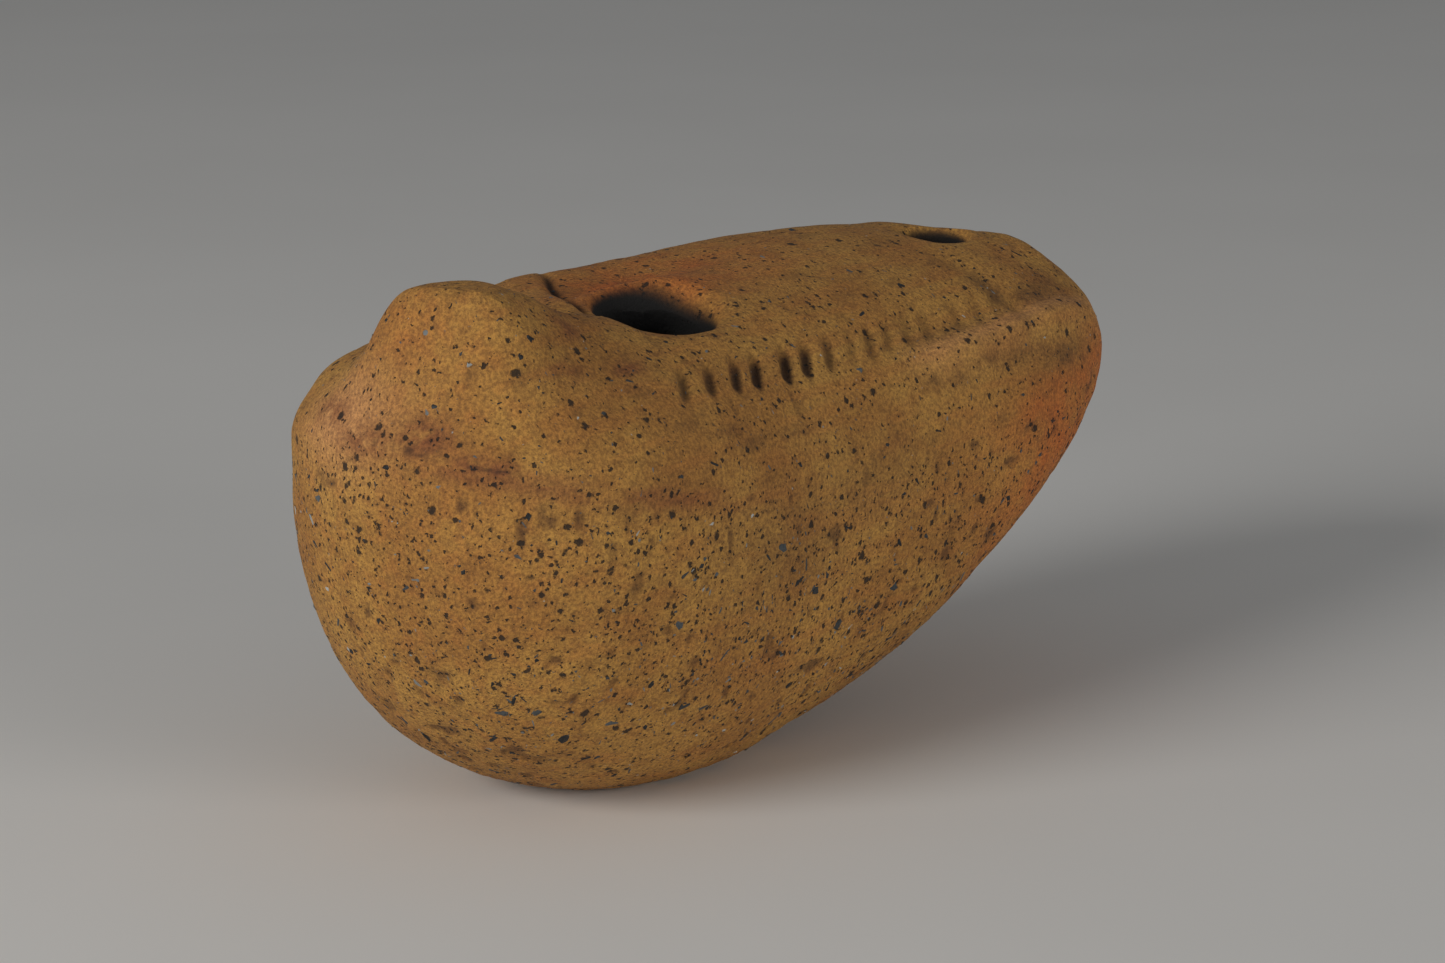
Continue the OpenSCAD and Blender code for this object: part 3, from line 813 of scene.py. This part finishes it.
def clay_masks(piece):
    """Stores where the clay is warm; pale, or painted lighter as a highlight on the side rib's crest;
    smudged; stained, or painted darker as shade beside the rib and in small pits; darkened in grooves and
    cracks, with painted shade in the lip's crease; painted near black as shade in the holes and the chamber;
    and gritty.
    """
    points = mesh_points(piece)
    x, y, z = points.T
    top = plain_top(x, y)
    edge = z - (JOINT_HEIGHT + joint_z(share_at(x)))
    front = smooth((-4 - y) / 6)
    wobble = noise(points, 9, 31)
    warm = bump((x + 6) / 13, 1) * bump((y - 0.5) / 6.5, 1) * (z > top - 4)
    end = front * smooth((x - 12 + 6 * wobble) / 16) * smooth((5 - edge) / 5) * smooth((edge + 20) / 8)
    warm = np.maximum(warm, 0.85 * end)
    warm = np.maximum(warm, blotches(points, WARM_SPOTS))
    pale = bump((x + 41) / 3.5, 1) * bump((y - 1) / 6, 1) * bump((z - 34) / 4, 1)
    # Painted highlight: the crest of the side rib is painted paler, as if lit, while the stain spots paint
    # shade on its flanks.
    lit_ridge = bump(y - rib_line(x), 0.9) * smooth((x - 4) / 8) * (edge > 2)
    pale = np.maximum(pale, 0.6 * lit_ridge)
    seam = front * bump(edge - 0.4, 1.0 + 0.4 * wobble) * 0.6 * smooth((-16 - x) / 10)
    seam = np.maximum(seam, blotches(points, SMUDGE_SPOTS))
    grit = mix(1.0, 0.45, smooth((edge + 0.5 * wobble) / 1.5))
    stain_and_shade = blotches(points, STAIN_AND_SHADE_SPOTS)
    # Darker inside the short grooves.
    dark_lines_and_shade = (z > top - 1.5) * dash_mask(x, y)
    # Painted shade along the crease at the foot of the lip.
    along, behind = beside(x, y, CREASE_END, CREASE_START, CREASE_BOW)
    crease = bump(behind + 0.1, 0.45) * smooth((along + 0.1) / 0.2) * smooth((0.95 - along) / 0.2)
    crease = crease * (z > top - 3)
    # Painted shade: the walls of both holes, darkest on each hole's far side, and the inner faces of the
    # chamber are painted near black.
    hollow_shade = np.zeros_like(x)
    for hole, reach_in in ((MOUTH, 1.3), (FINGER, 0.5)):
        dx, dy = x - hole["x"], y - hole["y"]
        far = (1 + (0.79 * dx + 0.61 * dy) / np.maximum(np.hypot(dx, dy), 0.1)) / 2
        soft = 0.2 + reach_in * far**3
        inside = smooth((hole["r"] + soft - np.hypot(dx, dy)) / soft) * (z > JOINT_HEIGHT + 4)
        hollow_shade = np.maximum(hollow_shade, inside)
    hollow_shade = np.maximum(hollow_shade, (z < top - 2.4) * (z > JOINT_HEIGHT + 9) * 1.0)
    give(piece, "hollow_shade", np.clip(hollow_shade, 0, 1))
    give(piece, "warm", np.clip(warm, 0, 1))
    give(piece, "pale", np.clip(pale, 0, 1))
    give(piece, "smudge", np.clip(seam, 0, 1))
    cracks = blotches(points, CRACK_SPOTS)
    # Painted shade in the small pits.
    stain_and_shade = np.maximum(stain_and_shade, 0.75 * pitting(points) * grit)
    give(piece, "stain_and_shade", np.clip(stain_and_shade, 0, 1))
    # One mask: darker grooves and cracks, and painted shade in the lip's crease.
    give(piece, "dark_lines_and_shade", np.clip(np.maximum(np.maximum(dark_lines_and_shade, crease), cracks), 0, 1))
    give(piece, "grit", grit)


# ---- Materials ----
class Paint:
    """A node material with short calls for what the clay and the stones share."""

    def __init__(self, name, roughness):
        self.material = bpy.data.materials.new(name)
        self.material.use_nodes = True
        self.tree = self.material.node_tree
        self.shader = self.tree.nodes["Principled BSDF"]
        self.shader.inputs["Roughness"].default_value = roughness
        self.place = self.tree.nodes.new("ShaderNodeTexCoord").outputs["Object"]
        self.plain_place = self.place

    def link(self, value, socket):
        if isinstance(value, bpy.types.NodeSocket):
            self.tree.links.new(value, socket)
        else:
            socket.default_value = value

    def warp(self, size, amount):
        """From here on, textures are looked up at places shifted by noise, so that dots turn out ragged."""
        source = self.tree.nodes.new("ShaderNodeTexNoise")
        self.link(self.plain_place, source.inputs["Vector"])
        source.inputs["Scale"].default_value = 1 / (size * MM)
        centred = self.tree.nodes.new("ShaderNodeVectorMath")
        centred.operation = "SUBTRACT"
        self.link(source.outputs["Color"], centred.inputs[0])
        centred.inputs[1].default_value = (0.5, 0.5, 0.5)
        shift = self.tree.nodes.new("ShaderNodeVectorMath")
        shift.operation = "MULTIPLY_ADD"
        self.link(centred.outputs["Vector"], shift.inputs[0])
        shift.inputs[1].default_value = [2 * amount * MM] * 3
        self.link(self.plain_place, shift.inputs[2])
        self.place = shift.outputs["Vector"]

    def attribute(self, name):
        node = self.tree.nodes.new("ShaderNodeAttribute")
        node.attribute_name = name
        return node.outputs["Fac"]

    def stretched(self, size):
        node = self.tree.nodes.new("ShaderNodeMapping")
        self.link(self.place, node.inputs["Vector"])
        node.inputs["Scale"].default_value = [1 / (s * MM) for s in size]
        return node.outputs["Vector"]

    def noise(self, size, detail=2.0, roughness=0.5):
        """Noise whose features are about size across, in millimetres."""
        node = self.tree.nodes.new("ShaderNodeTexNoise")
        stretched = isinstance(size, tuple)
        self.link(self.stretched(size) if stretched else self.place, node.inputs["Vector"])
        node.inputs["Scale"].default_value = 1 if stretched else 1 / (size * MM)
        node.inputs["Detail"].default_value = detail
        node.inputs["Roughness"].default_value = roughness
        return node.outputs["Fac"]

    def math(self, operation, a, b=0.0):
        node = self.tree.nodes.new("ShaderNodeMath")
        node.operation = operation
        self.link(a, node.inputs[0])
        self.link(b, node.inputs[1])
        return node.outputs[0]

    def step(self, value, low, high, to_low=0.0, to_high=1.0):
        node = self.tree.nodes.new("ShaderNodeMapRange")
        node.interpolation_type = "SMOOTHSTEP"
        self.link(value, node.inputs["Value"])
        self.link(low, node.inputs["From Min"])
        self.link(high, node.inputs["From Max"])
        node.inputs["To Min"].default_value = to_low
        node.inputs["To Max"].default_value = to_high
        return node.outputs["Result"]

    def mix(self, a, b, factor, blend="MIX"):
        node = self.tree.nodes.new("ShaderNodeMix")
        node.data_type = "RGBA"
        node.blend_type = blend
        self.link(factor, node.inputs["Factor"])
        for value, socket in ((a, node.inputs["A"]), (b, node.inputs["B"])):
            socket = [s for s in node.inputs if s.name == socket.name and s.type == "RGBA"][0]
            self.link(value, socket)
        return [s for s in node.outputs if s.type == "RGBA"][0]

    def specks(self, cell, least, most):
        """1 inside scattered dots, with radii from least to most cells, and a random value for each dot."""
        node = self.tree.nodes.new("ShaderNodeTexVoronoi")
        self.link(self.place, node.inputs["Vector"])
        node.inputs["Scale"].default_value = 1 / (cell * MM)
        split = self.tree.nodes.new("ShaderNodeSeparateColor")
        self.link(node.outputs["Color"], split.inputs["Color"])
        radius = self.step(self.math("POWER", split.outputs["Red"], 2.2), 0.0, 1.0, least, most)
        inner = self.math("MULTIPLY", radius, 0.6)
        inside = self.step(node.outputs["Distance"], inner, radius, 1.0, 0.0)
        return inside, split.outputs["Green"]

    def bump(self, heights):
        """Adds small relief from (height, depth in millimetres) pairs."""
        normal = None
        for height, depth in heights:
            node = self.tree.nodes.new("ShaderNodeBump")
            node.inputs["Distance"].default_value = depth * MM
            self.link(height, node.inputs["Height"])
            if normal is not None:
                self.link(normal, node.inputs["Normal"])
            normal = node.outputs["Normal"]
        self.link(normal, self.shader.inputs["Normal"])


def colour(red, green, blue):
    """An sRGB colour from 0 to 255, in the shader's linear values."""
    def linear(c):
        c = c / 255
        return c / 12.92 if c <= 0.04045 else ((c + 0.055) / 1.055) ** 2.4
    return (linear(red), linear(green), linear(blue), 1.0)


OCHRE = colour(172, 134, 70)
BROWN = colour(156, 115, 58)
ORANGE = colour(176, 100, 46)
# Pale clay, and the painted highlight on the side rib's crest.
PALE_AND_LIT = colour(190, 144, 98)
SMUDGE = colour(118, 70, 44)
# Dark brown, for stains and for painted shade beside the side rib and in small pits.
STAIN_AND_SHADE = colour(86, 58, 34)
# Dark brown, for the grooves and cracks and for painted shade in the lip's crease.
DARK_LINES_AND_SHADE = colour(44, 27, 20)
# Near black, for painted shade in the holes and the chamber.
HOLLOW_SHADE = colour(10, 8, 7)
STREAK = colour(164, 108, 56)
MOTTLE = colour(136, 94, 46)
SAND_DARK = colour(120, 84, 50)
SAND_LIGHT = colour(255, 236, 196)
# Near black, for fine grit and for painted shade in small pits.
FINE_GRIT_AND_PIT_SHADE = colour(30, 22, 16)


def clay(name, warmth=0.0):
    """Fired clay: ochre with streaks and mottling, the stored marks over it, among them painted shade and a
    painted highlight, then sand and fine dark dots of grit and of painted shade in small pits.
    """
    paint = Paint(name, 0.86)
    blotch = paint.step(paint.noise(9, 3), 0.38, 0.66)
    strokes = paint.step(paint.noise((9, 1.3, 1.3), 3), 0.42, 0.7)
    base = paint.mix(OCHRE, BROWN, blotch)
    base = paint.mix(base, STREAK, paint.math("MULTIPLY", strokes, 0.35))
    mottle = paint.step(paint.noise(2.6, 4, 0.6), 0.48, 0.72)
    base = paint.mix(base, MOTTLE, paint.math("MULTIPLY", mottle, 0.5))
    warm_noise = paint.step(paint.noise(4, 4, 0.6), 0.3, 0.65, 0.35, 1.0)
    warm = paint.math("MULTIPLY", paint.math("ADD", paint.attribute("warm"), warmth), warm_noise)
    base = paint.mix(base, ORANGE, warm)
    # A pale patch at the broad end, and the painted highlight on the side rib's crest.
    base = paint.mix(base, PALE_AND_LIT, paint.attribute("pale"))
    smudge_noise = paint.step(paint.noise((5, 2, 1.2), 4), 0.28, 0.56)
    base = paint.mix(base, SMUDGE, paint.math("MULTIPLY", paint.attribute("smudge"), smudge_noise))
    # Stains, and painted shade beside the side rib and in small pits.
    stain_and_shade_noise = paint.step(paint.noise(1.4, 4, 0.6), 0.3, 0.6, 0.45, 1.0)
    base = paint.mix(base, STAIN_AND_SHADE, paint.math("MULTIPLY", paint.attribute("stain_and_shade"), stain_and_shade_noise))
    sand = paint.noise(0.30, 3, 0.75)
    sand_colour = paint.mix(SAND_DARK, SAND_LIGHT, paint.step(sand, 0.3, 0.7))
    base = paint.mix(base, sand_colour, 0.5, "OVERLAY")
    # Darker grooves and cracks, and painted shade in the lip's crease.
    base = paint.mix(base, DARK_LINES_AND_SHADE, paint.math("MULTIPLY", paint.attribute("dark_lines_and_shade"), 0.9))
    # Painted shade in the holes and the chamber.
    base = paint.mix(base, HOLLOW_SHADE, paint.attribute("hollow_shade"))
    grit = paint.attribute("grit")
    paint.warp(0.35, 0.30)
    # Fine dark dots: partly grit, partly painted shade in small pits, which the bump below presses in.
    dots = 0
    for cell, most, keep in ((1.2, 0.36, 0.35), (0.7, 0.42, 0.3), (0.4, 0.46, 0.25)):
        inside, chance = paint.specks(cell, 0.08, most)
        bar = paint.math("SUBTRACT", 1.0, paint.math("MULTIPLY", grit, 1 - keep))
        kept = paint.math("MULTIPLY", inside, paint.math("GREATER_THAN", chance, bar))
        dots = kept if dots == 0 else paint.math("MAXIMUM", dots, kept)
    base = paint.mix(base, FINE_GRIT_AND_PIT_SHADE, paint.math("MULTIPLY", dots, 0.92))
    paint.link(base, paint.shader.inputs["Base Color"])
    paint.bump([(paint.noise(1.1, 5, 0.75), 0.16), (sand, 0.13), (paint.math("SUBTRACT", 1.0, dots), 0.14)])
    return paint.material


def stone(name, dark, light, roughness):
    """Stones whose tone runs from dark to light, with a fine grain."""
    paint = Paint(name, roughness)
    tone = paint.attribute("tone")
    base = paint.mix(dark, light, tone)
    grain = paint.noise(0.18, 3, 0.6)
    base = paint.mix(base, light, paint.step(grain, 0.55, 0.8, 0.0, 0.5))
    base = paint.mix(base, dark, paint.step(grain, 0.45, 0.3, 0.0, 0.6))
    paint.link(base, paint.shader.inputs["Base Color"])
    paint.bump([(grain, 0.03)])
    return paint.material


def dress(piece, material, nodes):
    """Gives a piece its material and ties it to the CAD nodes that it stands for."""
    piece.data.materials.clear()
    piece.data.materials.append(material)
    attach(piece, "root")
    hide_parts(*nodes)


# ---- Camera, lights and floor ----
VIEW_AZIMUTH = math.radians(-52)
VIEW_ELEVATION = math.radians(13.6)
VIEW_DISTANCE = 0.380
LENS = 114.5
AIM = Vector((0.0005, -0.00325, 0.0216))


def view_axes():
    back = Vector((math.sin(VIEW_AZIMUTH) * math.cos(VIEW_ELEVATION),
                   -math.cos(VIEW_AZIMUTH) * math.cos(VIEW_ELEVATION),
                   math.sin(VIEW_ELEVATION)))
    right = Vector((math.cos(VIEW_AZIMUTH), math.sin(VIEW_AZIMUTH), 0))
    return back, right


def add_camera():
    back, _ = view_axes()
    data = bpy.data.cameras.new("camera")
    data.lens = LENS
    data.sensor_width = 36
    data.clip_start = 0.01
    data.clip_end = 10
    camera = bpy.data.objects.new("camera", data)
    camera.location = AIM + back * VIEW_DISTANCE
    camera.rotation_euler = back.to_track_quat("Z", "Y").to_euler()
    bpy.context.scene.collection.objects.link(camera)
    bpy.context.scene.camera = camera


def add_light(name, place, size, power, tint):
    data = bpy.data.lights.new(name, "AREA")
    data.shape = "DISK"
    data.size = size
    data.energy = power
    data.color = tint
    light = bpy.data.objects.new(name, data)
    light.location = place
    light.rotation_euler = (place - AIM).to_track_quat("Z", "Y").to_euler()
    bpy.context.scene.collection.objects.link(light)


def add_studio():
    back, right = view_axes()
    flat_back = Vector((back.x, back.y, 0)).normalized()
    up = Vector((0, 0, 1))
    add_light("key", AIM - right * 0.50 + flat_back * 0.46 + up * 0.26, 0.35, 2.9, (1.0, 0.99, 0.97))
    add_light("fill", AIM + right * 0.55 + flat_back * 0.45 + up * 0.12, 0.40, 1.7, (1.0, 0.99, 0.97))
    world = bpy.data.worlds.new("studio")
    world.use_nodes = True
    world.node_tree.nodes["Background"].inputs["Color"].default_value = (0.80, 0.82, 0.85, 1)
    world.node_tree.nodes["Background"].inputs["Strength"].default_value = 0.18
    bpy.context.scene.world = world
    bpy.context.scene.view_settings.view_transform = "Standard"


def add_floor():
    half = 2000.0
    corners = [(-half, -half, 0), (half, -half, 0), (half, half, 0), (-half, half, 0)]
    floor = add_mesh("floor", corners, [[0, 1, 2, 3]])
    paint = Paint("pale_floor", 0.9)
    tone = paint.noise(60, 3)
    pale = paint.mix(colour(230, 228, 224), colour(238, 236, 232), tone)
    paint.link(pale, paint.shader.inputs["Base Color"])
    floor.data.materials.append(paint.material)


add_camera()
add_studio()
add_floor()

rays = shell_rays()
shell = make_shell(rays)
bowl = make_bowl(rays)
spire = make_spire()
lip = make_lip()
rib = make_rib()
cap = make_cap()
dark_grit, pale_grit = place_grit(bowl, shell, spire, cap)
for piece in (shell, bowl, spire, lip, rib, cap):
    clay_masks(piece)

body_clay = clay("body_clay")
dress(bowl, body_clay, ["lower_bowl"])
dress(shell, body_clay, ["upper_shell"])
dress(spire, body_clay, ["spire_knob"])
dress(lip, body_clay, ["aperture_lip"])
dress(rib, body_clay, ["side_rib"])
dress(cap, body_clay, ["tip_cap"])
dark_stone = stone("dark_stone", colour(15, 16, 17), colour(88, 93, 95), 0.6)
pale_stone = stone("pale_stone", colour(104, 106, 104), colour(190, 188, 180), 0.6)
dress(dark_grit, dark_stone, ["dark_grit"])
dress(pale_grit, pale_stone, ["pale_grit"])

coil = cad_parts["seam_coil"]
coil.data.materials.clear()
coil.data.materials.append(clay("raw_clay", 0.2))
